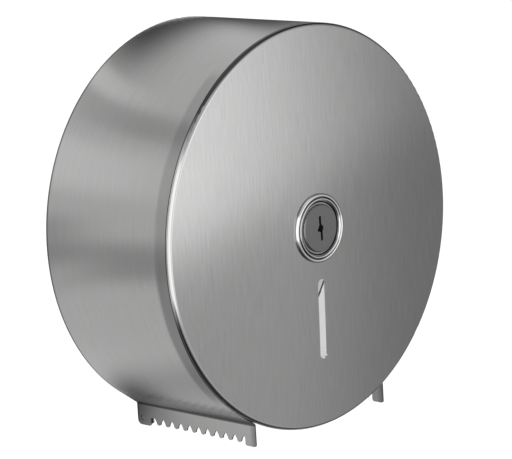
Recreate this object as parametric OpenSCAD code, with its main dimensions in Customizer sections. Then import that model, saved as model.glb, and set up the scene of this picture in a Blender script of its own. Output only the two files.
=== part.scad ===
// Wall dispenser for a jumbo toilet roll: a sheet-steel drum hinged at its foot,
// locked over a spindle that turns on a plate screwed to the wall.
// Each sub-part is drawn with X to the right, Y up and Z out of the wall, about the
// drum's axis, and on_wall() stands it up so that the wall is the plane y = 0.

/* [Drum] */
// Outer diameter of the drum
drum_d = 270; // [250:1:300]
// From the wall to the start of the rolled front edge
drum_depth = 112.3; // [105:0.1:130]
// Thickness of the sheet of the drum
sheet_t = 1; // [0.8:0.1:1.4]
// Gap between the wall and the rear rim of the drum
rim_gap = 0.8; // [0.5:0.1:1.5]
// Radius of the rolled front edge
edge_r = 2.5; // [2:0.5:4]
// Rise of the domed front over its rolled edge
dome_rise = 3.6; // [2:0.1:6]
// Length of the plain rim between the seam and the rolled edge
rim_l = 0.6; // [0.4:0.1:2]
// Width of the open seam behind the rim
seam_w = 0.6; // [0.3:0.1:1]
// Depth of the flange that the side wall is welded to
flange_l = 9.5; // [6:0.5:14]
// Gap between the flange and the side wall
lap_gap = 0.05; // [0.02:0.01:0.2]
// Radius of the half-round notch in the rear rim, at the top
notch_r = 2; // [1:0.5:4]

/* [Tear bars] */
// Distance between the outer faces of the two bars
bar_span = 128.5; // [110:0.5:140]
// Angle from straight down at which the sheet leaves the drum
leave_angle = 36; // [35:0.5:38]
// Inside radius of the bend into the bar
bend_r = 1; // [0.5:0.1:2]
// Height of the lugs below the bend
lug_h = 15; // [13.5:0.5:18]
// Length of the rear lug
rear_lug_l = 12.3; // [11:0.1:14]
// Radius of the lower corners of the rear lug
rear_lug_r = 3.5; // [3:0.1:4]
// Radius of the lower corners of the front lug
front_lug_r = 1.6; // [0.5:0.1:3]
// Number of teeth on a bar
tooth_n = 10; // [4:1:12]
// Spacing of the teeth
tooth_pitch = 8.37; // [7:0.01:8.6]
// How much shorter the teeth are than the lugs
tooth_short = 1.4; // [0.5:0.1:3]
// Depth of the notches between the teeth
tooth_depth = 4.4; // [3:0.1:5.5]
// Radius of the tip of a tooth
tooth_tip_r = 2.1; // [1:0.1:2.4]
// Width of a notch at its closed end
notch_w = 1.2; // [0.8:0.1:2]

/* [Level slot] */
// Width of the slot
slot_w = 7.1; // [5:0.1:10]
// Length of the slot over its round ends
slot_l = 54.2; // [30:0.1:70]
// From the drum's axis down to the middle of the slot
slot_drop = 61.6; // [60:0.1:75]

/* [Back plate] */
// Thickness of the back plate
plate_t = 1.2; // [1:0.1:2]
// Gap between the plate's rim and the inside of the drum
plate_gap = 2; // [1.5:0.1:4]
// Depth of the plate's rim flange
plate_rim_l = 17.5; // [4:0.5:20]
// Height at which the rim flange stops, below the axis
plate_rim_drop = 95; // [60:1:100]
// Radius of the pressed stiffening bead about the axis
bead_ring_r = 102; // [98:1:110]
// Half width and height of the bead
bead_r = 4; // [3:0.5:5]
// Diameter of the wall screw holes
screw_hole_d = 6.5; // [5:0.5:8]
// Spacing of the wall screws across
screw_dx = 120; // [90:1:120]
// Spacing of the wall screws in height
screw_dz = 100; // [80:1:110]

/* [Cover hinge] */
// From the wall to the hinge axis
hinge_z = 5.6; // [5.5:0.1:6.5]
// From the underside of a lug up to the hinge axis
hinge_up = 4.9; // [4:0.1:5]
// Diameter of a hinge pin
pin_d = 3.6; // [3:0.1:4]
// Running clearance round a hinge pin
pin_gap = 0.05; // [0.02:0.01:0.1]
// Thickness of a hinge washer
hinge_washer_t = 0.65; // [0.4:0.05:1]
// Diameter of a hinge washer
hinge_washer_d = 7.6; // [6:0.1:8]
// How far a pin's end lies inside the lug's outer face
pin_recess = 0.5; // [0.1:0.1:0.8]
// Diameter of a pin's head
pin_head_d = 6.6; // [5:0.1:8]
// Thickness of a pin's head
pin_head_t = 1.4; // [1:0.1:2]
// Side clearance between hinge faces
side_gap = 0.05; // [0.02:0.01:0.2]
// How far an ear stands out of the back plate
ear_l = 12.5; // [11:0.5:16]

/* [Spindle] */
// Outer diameter of the spindle tube
tube_d = 22; // [18:1:24]
// Wall of the spindle tube
tube_wall = 1.5; // [1:0.1:2.5]
// Diameter of the spindle's foot
foot_d = 66; // [58:1:76]
// Thickness of the spindle's foot
foot_t = 1.5; // [1:0.1:3]
// Diameter of the rivets of the foot
rivet_d = 4; // [3:0.5:5]
// Number of rivets in the foot
rivet_n = 3; // [3:1:6]
// Thickness of the brake washer behind the hub
brake_t = 2; // [1.8:0.1:3]
// Outer diameter of the brake washer
brake_d = 44; // [30:1:44]

/* [Roll hub] */
// Outer diameter of the hub that carries the roll's core
hub_d = 43; // [41:0.5:44]
// From the hub's front end to the start of the rolled front edge
hub_room = 23.95; // [23.5:0.05:35]
// Diameter of the hub's rear flange
hub_flange_d = 60; // [50:1:70]
// Thickness of the hub's rear flange
hub_flange_t = 2.5; // [2:0.1:4]
// Wall of the hub
hub_wall = 2; // [1.5:0.1:3]
// Number of ribs inside the hub
hub_rib_n = 6; // [3:1:10]
// Thickness of a rib
hub_rib_t = 1.6; // [1:0.1:2.5]
// Running clearance of the hub on the spindle
hub_gap = 0.08; // [0.05:0.01:0.1]
// End play of the hub
hub_play = 0.3; // [0.2:0.1:1]
// Thickness of the washer in front of the hub
hub_washer_t = 1.2; // [0.8:0.1:2]
// Thickness of the retaining ring
ring_t = 1.2; // [1:0.1:1.6]
// Depth of the retaining ring's groove
ring_groove = 0.8; // [0.5:0.1:1]

/* [Lock] */
// Diameter of the plug's face
plug_d = 32; // [28:0.5:33]
// Outer diameter of the bezel
bezel_d = 46; // [42:0.5:50]
// How far the plug's face stands out of the dome
plug_proud = 1.9; // [1:0.1:4]
// Width of the dark groove round the plug
plug_groove_w = 2.5; // [2:0.1:3]
// Chamfer of the plug's face
plug_chamfer = 0.7; // [0.3:0.1:1.2]
// Depth of the plug's head
plug_head_l = 7.4; // [6:0.1:9]
// Diameter of the plug's stem
stem_d = 14; // [10:0.5:16]
// Running clearance of the plug in its housing
plug_gap = 0.05; // [0.02:0.01:0.1]
// Wall of the housing's threaded neck
neck_wall = 1.5; // [1:0.1:2]
// Clearance of the neck in the hole of the front
neck_gap = 0.3; // [0.1:0.1:0.6]
// Diameter of the housing's flange, behind the front
housing_flange_d = 48; // [44:1:54]
// Thickness of the housing's flange
housing_flange_t = 2; // [1.5:0.1:3]
// Diameter of the housing's rear barrel
barrel_d = 26; // [24:0.5:30]
// Height of the keyhole
keyhole_h = 16.5; // [12:0.5:20]
// Width of the keyhole's slots
keyhole_w = 1.9; // [1.5:0.1:2.5]
// Radius of the round middle of the keyhole
keyhole_r = 2.5; // [2:0.1:3]
// Depth of the keyhole
keyhole_l = 6; // [4:0.5:6]

/* [Latch] */
// Length of the cam from the axis to its tip
cam_l = 15.5; // [14:0.5:16]
// Width of the cam's tip
cam_w = 9; // [6:0.5:10]
// Thickness of the cam
cam_t = 2; // [1.5:0.1:3]
// Gap between the cam and the keeper's lip
latch_gap = 1; // [0.5:0.1:1.5]
// Width of the keeper's strip
keeper_w = 12; // [8:0.5:14]
// Thickness of the keeper's strip
keeper_t = 1.5; // [1:0.1:2]
// Height of the keeper's leg above the axis
keeper_h = 19; // [18.5:0.5:19.5]
// Height of the lower edge of the keeper's lip above the axis
lip_h = 10.5; // [9.5:0.5:12]
// Depth of the keeper's pocket in front of its foot
pocket_l = 8.5; // [7.5:0.1:9]

/* [Hidden] */

$fn = 96;
fine_fn = 288;
dome_fn = 1440;
cut = 0.5;        // how far a cutting shape passes the face it cuts
bend_thin = 0.02; // how much each face of the sheet sinks where it is drawn
bend_lap = 0.4;   // how far the flats run into the bend
far = 2 * drum_d;
steel = "silver";

// Drum
drum_r = drum_d / 2;
inner_r = drum_r - sheet_t;
seam_z = drum_depth - rim_l;
wall_front_z = seam_z - seam_w;
edge_top_z = drum_depth + edge_r;
dome_foot_r = drum_r - edge_r;
dome_r = (dome_foot_r * dome_foot_r + dome_rise * dome_rise) / (2 * dome_rise);
dome_top_z = edge_top_z + dome_rise;
flange_r = inner_r - lap_gap;
flange_rear_z = wall_front_z - flange_l;

// Tear bars: the bend's centre lies bend_r from the sheet's outer face and from the bar's
bar_x = bar_span / 2;
bend_x = bar_x + bend_r;
bend_y = -drum_r * cos(leave_angle)
    - (bend_r + (drum_r * sin(leave_angle) - bend_x) * sin(leave_angle)) / cos(leave_angle);
straight_l = (drum_r * sin(leave_angle) - bend_x) * cos(leave_angle)
    + (-drum_r * cos(leave_angle) - bend_y) * sin(leave_angle);
lug_bottom = bend_y - lug_h + bend_r / 2;
tooth_tip_y = lug_bottom + tooth_short;
tooth_root_y = tooth_tip_y + tooth_depth;
comb_start = rim_gap + rear_lug_l;
tooth_root_w = tooth_pitch - notch_w;

// Back plate and hinge
plate_r = inner_r - plate_gap;
ear_out = bar_x - sheet_t - side_gap - hinge_washer_t - side_gap;
tongue_bottom = lug_bottom + 1;
hinge_h = lug_bottom + hinge_up;
ear_round = hinge_h - tongue_bottom;

// Spindle and hub, in order out of the wall
tube_r = tube_d / 2;
bore_r = tube_r - tube_wall;
foot_front = plate_t + foot_t;
brake_front = foot_front + brake_t;
hub_rear = brake_front + hub_play / 2;
hub_front = drum_depth - hub_room;
hub_l = hub_front - hub_rear;
washer_rear = hub_front + hub_play / 2;
ring_rear = washer_rear + hub_washer_t + side_gap;
ring_front = ring_rear + ring_t;
tube_end_l = 1.6;  // bare end of the tube in front of its ring
tube_front = ring_front + tube_end_l;
hub_washer_w = 5;
washer_r = tube_r + hub_washer_w;
rivet_ring_r = foot_d / 2 - 1.6 * rivet_d;
rivet_head_r = rivet_d * 0.85;
rivet_head_h = rivet_d * 0.35;
rivet_head_sphere = (rivet_head_r * rivet_head_r + rivet_head_h * rivet_head_h) / (2 * rivet_head_h);
fit_gap = 0.02;  // between pieces that are pressed or screwed together

// Lock
plug_r = plug_d / 2;
plug_front = dome_top_z + plug_proud;
plug_rear = plug_front - plug_head_l;
stem_r = stem_d / 2;
neck_r = plug_r + plug_gap + neck_wall;
bezel_r = bezel_d / 2;
groove_r = plug_r + plug_groove_w;
front_hole_r = neck_r + neck_gap;
panel_back = dome_z(housing_flange_d / 2) - sheet_t - side_gap;
bezel_rear = dome_top_z + side_gap;
neck_end = 0.3;    // how far the neck reaches into the bezel
neck_front = bezel_rear + neck_end;
floor_z = plug_rear - plug_gap;
housing_flange_rear = panel_back - housing_flange_t;
detent_r = (stem_r + barrel_d / 2) / 2;
ball_r = 1.5;

// Latch
keeper_rear = tube_front;
keeper_front = keeper_rear + keeper_t;
lip_rear = keeper_front + pocket_l;
lip_front = lip_rear + keeper_t;
cam_front = lip_rear - latch_gap;
cam_rear = cam_front - cam_t;
barrel_rear = lip_front + latch_gap;
drive_r = stem_r * 0.65;
cam_screw_r = 2;
cam_screw_head_t = 1.6;
cam_screw_l = 7;
cam_screw_hole_l = 8;
cam_hub_r = stem_r + 1;
hex_r = 1.5;       // sockets of both screws
hex_l = 1;
cam_washer_t = 0.6;
keeper_screw_r = 2.5;
keeper_screw_l = 11;
spindle_plug_l = 14;

function dome_z(r) = dome_top_z - dome_r + sqrt(dome_r * dome_r - r * r);

// ---- shared shapes ----

module on_wall() {
    rotate([90, 0, 0]) children();
}

// A tube about the axis, from z0 to z1
module tube(r_out, r_in, z0, z1) {
    translate([0, 0, z0]) difference() {
        cylinder(r = r_out, h = z1 - z0);
        translate([0, 0, -cut]) cylinder(r = r_in, h = z1 - z0 + 2 * cut);
    }
}

// A disc about the axis, from z0 to z1
module disc(r, z0, z1) {
    translate([0, 0, z0]) cylinder(r = r, h = z1 - z0);
}

// The same on both sides of the drum
module both_sides() {
    children();
    mirror([1, 0, 0]) children();
}

// A bar of round section that lies along X, from x0 to x1
module cross_bar(r, x0, x1) {
    translate([x0, 0, 0]) rotate([0, 90, 0]) cylinder(r = r, h = x1 - x0);
}

// What is left of a square corner of size r when it is rounded
module corner_waste(r) {
    difference() {
        translate([-cut, -cut]) square(r + cut);
        translate([r, r]) circle(r);
    }
}

// ---- drum ----

// The sheet's section: the arc, the straight run off it and the bend, each a little
// thinner than the one before, as drawn sheet is
module wall_section() {
    difference() {
        circle(drum_r, $fn = fine_fn);
        circle(inner_r, $fn = fine_fn);
        polygon([[0, 0], [-far * sin(leave_angle), -far * cos(leave_angle)],
            [far * sin(leave_angle), -far * cos(leave_angle)]]);
    }
    both_sides() {
        rotate(-leave_angle) translate([-bend_lap, bend_thin - drum_r])
            square([straight_l + 2 * bend_lap, sheet_t - 2 * bend_thin]);
        translate([-bend_x, bend_y]) intersection() {
            difference() {
                circle(bend_r + sheet_t - 2 * bend_thin);
                circle(bend_r + 2 * bend_thin);
            }
            polygon([[0, 0], [far, 0], [far, far],
                [far * sin(leave_angle), far * cos(leave_angle)]]);
        }
    }
}

// One tooth, round at its tip and wider at its root
module tooth() {
    translate([0, tooth_tip_y + tooth_tip_r]) circle(tooth_tip_r);
    polygon([[-tooth_tip_r, tooth_tip_y + tooth_tip_r], [tooth_tip_r, tooth_tip_y + tooth_tip_r],
        [tooth_root_w / 2, tooth_root_y], [-tooth_root_w / 2, tooth_root_y]]);
}

// A bar seen from the side, with the distance from the wall along X
module bar_outline() {
    front_lug = comb_start + (tooth_n + 1) * tooth_pitch - (tooth_pitch - notch_w) / 2;
    translate([rim_gap, tooth_root_y])
        square([wall_front_z - rim_gap, bend_y + bend_lap - tooth_root_y]);
    difference() {
        translate([rim_gap, lug_bottom]) square([rear_lug_l, tooth_root_y - lug_bottom]);
        translate([rim_gap, lug_bottom]) corner_waste(rear_lug_r);
        translate([comb_start, lug_bottom]) mirror([1, 0]) corner_waste(front_lug_r);
    }
    difference() {
        translate([front_lug, lug_bottom])
            square([wall_front_z - front_lug, tooth_root_y - lug_bottom]);
        translate([front_lug, lug_bottom]) corner_waste(front_lug_r);
        translate([wall_front_z, lug_bottom]) mirror([1, 0]) corner_waste(front_lug_r);
    }
    for (i = [1 : tooth_n])
        translate([comb_start + i * tooth_pitch - (tooth_pitch - tooth_root_w) / 2, 0]) tooth();
}

module side_wall() {
    color(steel) on_wall() difference() {
        union() {
            translate([0, 0, rim_gap]) linear_extrude(wall_front_z - rim_gap) wall_section();
            both_sides() translate([bar_x - sheet_t, 0, 0])
                rotate([0, -90, 0]) mirror([0, 0, 1]) linear_extrude(sheet_t) bar_outline();
        }
        translate([0, 0, hinge_z]) both_sides()
            translate([0, hinge_h, 0])
                cross_bar(pin_d / 2 + pin_gap, bar_x - sheet_t - cut, bar_x + cut);
        translate([0, drum_r - sheet_t - cut, rim_gap]) rotate([-90, 0, 0])
            cylinder(r = notch_r, h = sheet_t + 2 * cut);
    }
}

// The front's outer form, shrunk all over by t
module pan_section(t) {
    intersection() {
        translate([0, dome_top_z - dome_r]) circle(dome_r - t, $fn = dome_fn);
        union() {
            square([drum_r - t, drum_depth]);
            square([dome_foot_r, far]);
            translate([dome_foot_r, drum_depth]) circle(edge_r - t);
        }
    }
}

module front_cover() {
    color(steel) on_wall() difference() {
        union() {
            rotate_extrude($fn = fine_fn) difference() {
                pan_section(0);
                pan_section(sheet_t);
                translate([0, -cut]) square([far, seam_z + cut]);
            }
            rotate_extrude($fn = fine_fn) translate([flange_r - sheet_t, flange_rear_z])
                square([sheet_t, seam_z - flange_rear_z + sheet_t]);
            rotate_extrude($fn = fine_fn) translate([flange_r - sheet_t, seam_z])
                square([drum_r - flange_r + sheet_t / 2, sheet_t]);
        }
        disc(front_hole_r, 0, far);
        translate([0, -slot_drop, drum_depth - cut]) linear_extrude(far) {
            square([slot_w, slot_l - slot_w], center = true);
            for (side = [-1, 1]) translate([0, side * (slot_l - slot_w) / 2]) circle(slot_w / 2);
        }
    }
}

// ---- back plate and hinge ----

// The plate's foot between the two ears
module plate_tongue() {
    translate([-ear_out, tongue_bottom, 0])
        cube([2 * ear_out, -plate_r / 2 - tongue_bottom, plate_t]);
}

// An ear seen from the side, with the distance from the wall along X
module ear_outline() {
    reach = plate_t + ear_l;
    difference() {
        translate([0, tongue_bottom]) square([reach, 2 * ear_round]);
        translate([reach, tongue_bottom]) mirror([1, 0]) corner_waste(ear_round / 2);
        translate([reach, tongue_bottom + 2 * ear_round]) mirror([1, 0]) mirror([0, 1])
            corner_waste(ear_round / 2);
    }
}

module back_plate() {
    color("lightgray") on_wall() difference() {
        union() {
            cylinder(r = plate_r, h = plate_t, $fn = fine_fn);
            rotate_extrude($fn = fine_fn) translate([bead_ring_r, 0]) intersection() {
                circle(bead_r);
                translate([-bead_r, 0]) square([2 * bead_r, bead_r]);
            }
            difference() {
                rotate_extrude($fn = fine_fn) translate([plate_r - plate_t, 0])
                    square([plate_t, plate_rim_l]);
                translate([-far / 2, -far - plate_rim_drop, plate_t]) cube(far);
            }
            plate_tongue();
            both_sides() translate([ear_out - plate_t, 0, 0])
                rotate([0, -90, 0]) mirror([0, 0, 1]) linear_extrude(plate_t) ear_outline();
        }
        rotate_extrude($fn = fine_fn) translate([bead_ring_r, 0]) circle(bead_r - plate_t);
        for (x = [-1, 1], y = [-1, 1])
            translate([x * screw_dx / 2, y * screw_dz / 2, -cut])
                cylinder(d = screw_hole_d, h = plate_t + 2 * cut);
        rivet_places() translate([0, 0, -cut])
            cylinder(r = rivet_d / 2 + fit_gap, h = plate_t + 2 * cut);
        translate([0, hinge_h, hinge_z]) both_sides()
            cross_bar(pin_d / 2 + fit_gap, ear_out - plate_t - cut, ear_out + cut);
    }
}

module hinge_pins() {
    head_out = ear_out - plate_t - fit_gap;
    color("gray") on_wall() translate([0, hinge_h, hinge_z]) both_sides() {
        cross_bar(pin_d / 2, head_out, bar_x - pin_recess);
        cross_bar(pin_head_d / 2, head_out - pin_head_t, head_out);
    }
}

module hinge_washers() {
    color("whitesmoke") on_wall() translate([0, hinge_h, hinge_z]) both_sides() difference() {
        cross_bar(hinge_washer_d / 2, ear_out + side_gap, ear_out + side_gap + hinge_washer_t);
        cross_bar(pin_d / 2 + pin_gap, ear_out, bar_x);
    }
}

// ---- spindle ----

module rivet_places() {
    for (i = [0 : rivet_n - 1])
        rotate(90 + i * 360 / rivet_n) translate([rivet_ring_r, 0, 0]) children();
}

module spindle_foot() {
    color(steel) on_wall() difference() {
        tube(foot_d / 2, tube_r + fit_gap, plate_t, foot_front);
        rivet_places() cylinder(r = rivet_d / 2 + fit_gap, h = foot_front + cut);
    }
}

module spindle_rivets() {
    color("gray") on_wall() rivet_places() {
        translate([0, 0, fit_gap]) cylinder(r = rivet_d / 2, h = foot_front);
        translate([0, 0, foot_front + fit_gap]) intersection() {
            translate([0, 0, rivet_head_h - rivet_head_sphere]) sphere(rivet_head_sphere);
            cylinder(r = rivet_head_r + cut, h = rivet_head_h);
        }
    }
}

module spindle_tube() {
    color(steel) on_wall() difference() {
        tube(tube_r, bore_r, plate_t, tube_front);
        tube(tube_r + cut, tube_r - ring_groove, ring_rear, ring_front);
    }
}

module brake_washer() {
    color("dimgray") on_wall() tube(brake_d / 2, tube_r + hub_gap, foot_front, brake_front);
}

module hub_washer() {
    color("whitesmoke") on_wall()
        tube(washer_r, tube_r + hub_gap, washer_rear, washer_rear + hub_washer_t);
}

// An open ring with two eyes for the pliers
module retaining_ring() {
    band = 2.4;
    eye_r = 1.9;
    hole_r = 0.8;
    gap_angle = 24;
    ring_in = tube_r - ring_groove + fit_gap;
    eye_at = ring_in + ring_groove + eye_r;
    color("darkslategray") on_wall() translate([0, 0, ring_rear + fit_gap])
        linear_extrude(ring_t - 2 * fit_gap) difference() {
            union() {
                circle(ring_in + band);
                for (side = [-1, 1]) rotate(side * gap_angle)
                    translate([0, -eye_at]) circle(eye_r);
            }
            circle(ring_in);
            polygon([[0, 0], [-far * sin(gap_angle / 2), -far],
                [far * sin(gap_angle / 2), -far]]);
            for (side = [-1, 1]) rotate(side * gap_angle)
                translate([0, -eye_at]) circle(hole_r);
        }
}

module spindle_plug() {
    color("gray") on_wall()
        tube(bore_r - fit_gap, keeper_screw_r + fit_gap, tube_front - spindle_plug_l, tube_front);
}

// ---- roll hub ----

module roll_hub() {
    bore = tube_r + hub_gap;
    color("dimgray") on_wall() {
        tube(hub_flange_d / 2, bore, hub_rear, hub_rear + hub_flange_t);
        tube(hub_d / 2, hub_d / 2 - hub_wall, hub_rear, hub_front);
        tube(bore + hub_wall, bore, hub_rear, hub_front);
        difference() {
            for (i = [0 : hub_rib_n - 1]) rotate(i * 360 / hub_rib_n)
                translate([bore + hub_wall / 2, -hub_rib_t / 2, hub_rear])
                    cube([hub_d / 2 - bore - hub_wall, hub_rib_t, hub_l - hub_wall]);
            disc(bore, 0, far);
        }
    }
}

// ---- latch ----

module latch_keeper() {
    x0 = -keeper_w / 2;
    tail = keeper_w * 0.75;
    sink_t = keeper_t + 2 * fit_gap;
    color(steel) on_wall() difference() {
        union() {
            translate([x0, -tail, keeper_rear]) cube([keeper_w, keeper_h + tail, keeper_t]);
            translate([x0, keeper_h - keeper_t, keeper_rear])
                cube([keeper_w, keeper_t, lip_front - keeper_rear]);
            translate([x0, lip_h, lip_rear]) cube([keeper_w, keeper_h - lip_h, keeper_t]);
        }
        disc(keeper_screw_r + fit_gap, 0, far);
        translate([0, 0, keeper_rear - fit_gap])
            cylinder(r1 = keeper_screw_r, r2 = keeper_screw_r + sink_t, h = sink_t);
    }
}

module keeper_screw() {
    head_t = keeper_t - fit_gap;
    color("gray") on_wall() difference() {
        union() {
            disc(keeper_screw_r, keeper_front - keeper_screw_l, keeper_front - fit_gap);
            translate([0, 0, keeper_rear])
                cylinder(r1 = keeper_screw_r, r2 = keeper_screw_r + head_t, h = head_t);
        }
        translate([0, 0, keeper_front - hex_l]) cylinder(r = hex_r, h = hex_l + cut, $fn = 6);
    }
}

// ---- lock ----

module lock_housing() {
    color("darkgray") on_wall() difference() {
        union() {
            disc(neck_r, housing_flange_rear, neck_front);
            disc(housing_flange_d / 2, housing_flange_rear, panel_back);
            disc(neck_r, floor_z - neck_wall, panel_back);
            disc(barrel_d / 2, barrel_rear, panel_back);
        }
        disc(plug_r + plug_gap, floor_z, far);
        disc(stem_r + plug_gap, 0, far);
        translate([detent_r, 0, barrel_rear + neck_wall]) cylinder(r = ball_r + plug_gap, h = far);
    }
}

// Two round beads on a flat ring, with a fine groove between them
module lock_bezel() {
    outer_bead = 1.35;
    inner_bead = 0.85;
    base_t = 0.6;
    color("gainsboro") on_wall() rotate_extrude($fn = fine_fn) {
        difference() {
            union() {
                translate([neck_r + fit_gap, bezel_rear]) square([bezel_r - neck_r - fit_gap, base_t]);
                translate([bezel_r - outer_bead, plug_front - outer_bead]) circle(outer_bead);
                translate([groove_r + inner_bead, bezel_rear])
                    square([inner_bead, plug_front - bezel_rear - inner_bead]);
                translate([groove_r, bezel_rear])
                    square([bezel_r - outer_bead - groove_r, plug_front - bezel_rear - outer_bead]);
                translate([groove_r + inner_bead, plug_front + inner_bead / 4 - inner_bead]) circle(inner_bead);
            }
            translate([0, bezel_rear - far]) square([far, far]);
        }
    }
}

// The keyhole's outline: two slots set off to either side of a round middle
module keyhole() {
    offset_x = keyhole_w / 4;
    circle(keyhole_r);
    translate([-offset_x - keyhole_w / 2, 0]) square([keyhole_w, keyhole_h / 2]);
    translate([offset_x - keyhole_w / 2, -keyhole_h / 2]) square([keyhole_w, keyhole_h / 2]);
    translate([-keyhole_r - keyhole_w / 3, -keyhole_w]) square([keyhole_r, keyhole_w]);
}

module lock_plug() {
    color("gray") on_wall() difference() {
        union() {
            disc(plug_r, plug_rear, plug_front - plug_chamfer);
            translate([0, 0, plug_front - plug_chamfer])
                cylinder(r1 = plug_r, r2 = plug_r - plug_chamfer, h = plug_chamfer);
            disc(stem_r, barrel_rear, plug_rear);
            intersection() {
                disc(stem_r, cam_rear, barrel_rear);
                translate([-drive_r, -drive_r, cam_rear])
                    cube([2 * drive_r, 2 * drive_r, barrel_rear - cam_rear]);
            }
        }
        translate([0, 0, plug_front - keyhole_l]) linear_extrude(far) keyhole();
        disc(cam_screw_r + fit_gap, cam_rear - cut, cam_rear + cam_screw_hole_l);
        for (turn = [0, 90]) rotate(turn)
            translate([detent_r, 0, plug_rear - ball_r / 2]) sphere(ball_r);
    }
}

module detent_ball() {
    color("silver") on_wall() translate([detent_r, 0, plug_rear - plug_gap - ball_r]) sphere(ball_r);
}

// A round wire wound into an open coil about Z, swept ring by ring
module coil(mean_r, wire_r, pitch, turns) {
    ring_n = 16;
    sides = 8;
    steps = ring_n * turns;
    points = [for (i = [0 : steps], j = [0 : sides - 1])
        let (a = 360 * i / ring_n, b = 360 * j / sides, r = mean_r + wire_r * cos(b))
            [r * cos(a), r * sin(a), pitch * i / ring_n + wire_r * sin(b)]];
    walls = [for (i = [0 : steps - 1], j = [0 : sides - 1])
        let (k = (j + 1) % sides)
            [i * sides + j, (i + 1) * sides + j, (i + 1) * sides + k, i * sides + k]];
    ends = [[for (j = [0 : sides - 1]) j], [for (j = [sides - 1 : -1 : 0]) steps * sides + j]];
    polyhedron(points, concat(walls, ends), convexity = 6);
}

module detent_spring() {
    wire_r = 0.2;
    turns = 5;
    rear = barrel_rear + neck_wall + wire_r;
    front = plug_rear - plug_gap - 2 * ball_r - wire_r;
    color("silver") on_wall() translate([detent_r, 0, rear])
        coil(ball_r - plug_gap - wire_r, wire_r, (front - rear) / turns, turns);
}

// The square hole of a piece that the plug's stem turns
module drive_hole(z0, z1) {
    translate([0, 0, z0]) intersection() {
        cylinder(r = stem_r + fit_gap, h = z1 - z0);
        translate([-drive_r - fit_gap, -drive_r - fit_gap, 0])
            cube([2 * drive_r + 2 * fit_gap, 2 * drive_r + 2 * fit_gap, z1 - z0]);
    }
}

module cam_collar() {
    color("gray") on_wall() difference() {
        disc(cam_hub_r, cam_front + fit_gap, barrel_rear - plug_gap);
        drive_hole(0, far);
    }
}

module lock_cam() {
    color("silver") on_wall() difference() {
        union() {
            disc(cam_hub_r, cam_rear, cam_front);
            translate([-cam_w / 2, 0, cam_rear]) cube([cam_w, cam_l - cam_w / 2, cam_t]);
            intersection() {
                translate([0, cam_l - cam_w / 2, 0]) disc(cam_w / 2, cam_rear, cam_front);
                translate([-cam_w / 2, 0, cam_rear]) cube([cam_w, cam_l, cam_t]);
            }
        }
        drive_hole(0, far);
    }
}

module cam_washer() {
    front = cam_rear - fit_gap;
    color("gainsboro") on_wall() tube(stem_r, cam_screw_r + fit_gap, front - cam_washer_t, front);
}

module cam_screw() {
    head_front = cam_rear - cam_washer_t - 2 * fit_gap;
    color("gray") on_wall() difference() {
        union() {
            disc(cam_screw_r, head_front, cam_rear + cam_screw_l);
            disc(2 * cam_screw_r, head_front - cam_screw_head_t, head_front);
        }
        translate([0, 0, head_front - cam_screw_head_t - cut])
            cylinder(r = hex_r, h = hex_l + cut, $fn = 6);
    }
}

back_plate();
hinge_pins();
hinge_washers();
spindle_foot();
spindle_rivets();
spindle_tube();
spindle_plug();
brake_washer();
hub_washer();
retaining_ring();
latch_keeper();
keeper_screw();
roll_hub();
side_wall();
front_cover();
lock_housing();
lock_bezel();
detent_spring();
detent_ball();
lock_plug();
cam_collar();
lock_cam();
cam_screw();
cam_washer();
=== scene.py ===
"""Finishes a sheet-steel roll dispenser and sets it in a small photographic studio."""

import math

import bmesh
import bpy
from bpy.props import FloatProperty, FloatVectorProperty, PointerProperty
from mathutils import Matrix, Vector


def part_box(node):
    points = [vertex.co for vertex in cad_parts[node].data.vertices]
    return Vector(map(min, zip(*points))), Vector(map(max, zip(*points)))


bl_info = {
    "name": "Jumbo Roll Dispenser",
    "version": (1, 0, 0),
    "blender": (4, 5, 0),
    "location": "View3D > Sidebar > Dispenser",
    "description": "Finishes for a sheet-steel roll dispenser, its studio and its camera",
    "category": "Object",
}

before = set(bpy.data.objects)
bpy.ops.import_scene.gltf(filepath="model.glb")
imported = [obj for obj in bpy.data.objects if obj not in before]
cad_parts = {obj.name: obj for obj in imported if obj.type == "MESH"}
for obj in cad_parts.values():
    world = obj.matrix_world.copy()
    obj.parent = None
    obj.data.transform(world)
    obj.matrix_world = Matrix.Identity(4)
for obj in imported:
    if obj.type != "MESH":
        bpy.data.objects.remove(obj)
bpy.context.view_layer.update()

# The dispenser's own sizes, in metres. The y of a place is its distance from the wall, below 0
DRUM_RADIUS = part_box("front_cover")[1][0]
WALL_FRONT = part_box("side_wall")[0][1]
BAR_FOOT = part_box("side_wall")[0][2]
# Where the rolled edge meets the domed front, and the edge's radius
FACE_FRONT = WALL_FRONT - 0.0037
EDGE_RADIUS = 0.0025
# How far out the rolled edge's finish starts, and how deep under its surface it ends
EDGE_START = 0.00013
EDGE_SKIN = 0.0004
# How far round from straight down the sheet leaves the drum, in degrees
LEAVE_ANGLE = 36
# From the foot of the tear bars up to the bend that they hang from
BEND_HEIGHT = 0.015
# Radii of the groove between the bezel's beads and of the groove round the plug
BEZEL_GROOVE = 0.02025
PLUG_GROOVE = 0.0185

# Heights from the drum's axis between which the painted shade by the rolled edge's seam grows
# darker or wider
SEAM_SHADE_UPPER = (0.07, 0.095)
SEAM_SHADE_TOP = (0.095, 0.12)
SEAM_SHADE_LOWER = (-0.045, -0.02)
# From the drum's outside in to where the painted shade by the seam starts and is full, and what the
# top adds
SEAM_SHADE_WIDTH = 0.0009
SEAM_SHADE_DARKEST = 0.0003
SEAM_SHADE_TOP_WIDTH = 0.0009
SEAM_SHADE_TOP_DARKEST = 0.0004
# The least and the added darkness of the painted shade by the seam
SEAM_SHADE_FAINT = 0.15
SEAM_SHADE_STRONG = 0.85
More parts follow.
